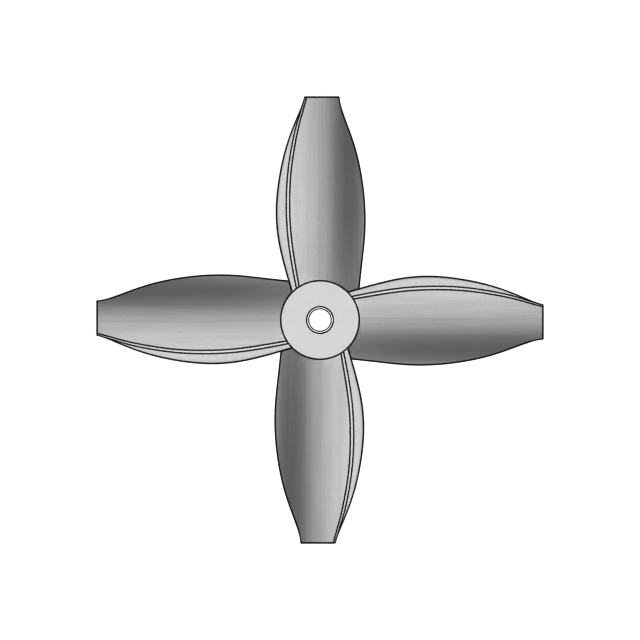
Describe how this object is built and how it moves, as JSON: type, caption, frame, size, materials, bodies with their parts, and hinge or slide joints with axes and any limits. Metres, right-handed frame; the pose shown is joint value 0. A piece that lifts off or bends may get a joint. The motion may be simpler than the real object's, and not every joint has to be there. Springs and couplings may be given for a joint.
{
  "type": "aircraft propeller",
  "caption": "Fixed-pitch laminated wooden propeller with square-tipped blades, a flat-faced round hub and a flanged metal sleeve for its shaft.",
  "frame": {"origin": "on the shaft axis at the rear face of the axle sleeve, which is the rearmost point of the part", "axes": "+Z along the shaft towards the front of the propeller, +Y along the first blade, +X to the right seen from the front"},
  "size_m": [0.2032, 0.2032, 0.0466],
  "materials": {
    "blade_wood": "satin grey stain over fine-grained wood, edges worn dark",
    "edge_guard": "light grey stained hardwood, satin",
    "edge_inlay": "pale hardwood strip, satin",
    "hub_plate": "satin light grey paint",
    "sleeve_metal": "turned steel",
    "dowel_wood": "plain hardwood",
    "screw_metal": "zinc plated"
  },
  "bodies": {
    "axle_sleeve": {"axle_sleeve": "sleeve_metal"},
    "propeller": {"front_hub_plate": "hub_plate", "rear_hub_plate": "hub_plate", "leading_edge_guard_1": "edge_guard", "leading_edge_guard_2": "edge_guard", "leading_edge_guard_3": "edge_guard", "leading_edge_guard_4": "edge_guard", "edge_inlay_1": "edge_inlay", "edge_inlay_2": "edge_inlay", "edge_inlay_3": "edge_inlay", "edge_inlay_4": "edge_inlay", "layer_1_through_plank": "blade_wood", "layer_1_short_plank_a": "blade_wood", "layer_1_short_plank_b": "blade_wood", "layer_2_through_plank": "blade_wood", "layer_2_short_plank_a": "blade_wood", "layer_2_short_plank_b": "blade_wood", "layer_3_through_plank": "blade_wood", "layer_3_short_plank_a": "blade_wood", "layer_3_short_plank_b": "blade_wood", "layer_4_through_plank": "blade_wood", "layer_4_short_plank_a": "blade_wood", "layer_4_short_plank_b": "blade_wood", "layer_5_through_plank": "blade_wood", "layer_5_short_plank_a": "blade_wood", "layer_5_short_plank_b": "blade_wood", "layer_6_through_plank": "blade_wood", "layer_6_short_plank_a": "blade_wood", "layer_6_short_plank_b": "blade_wood", "hub_dowels": "dowel_wood", "rear_plate_screws": "screw_metal"}
  },
  "joints": [
    {"name": "propeller_spin", "type": "hinge", "parent": "axle_sleeve", "child": "propeller", "pos_m": [0, 0, 0], "axis": [0, 0, 1], "continuous": true}
  ]
}
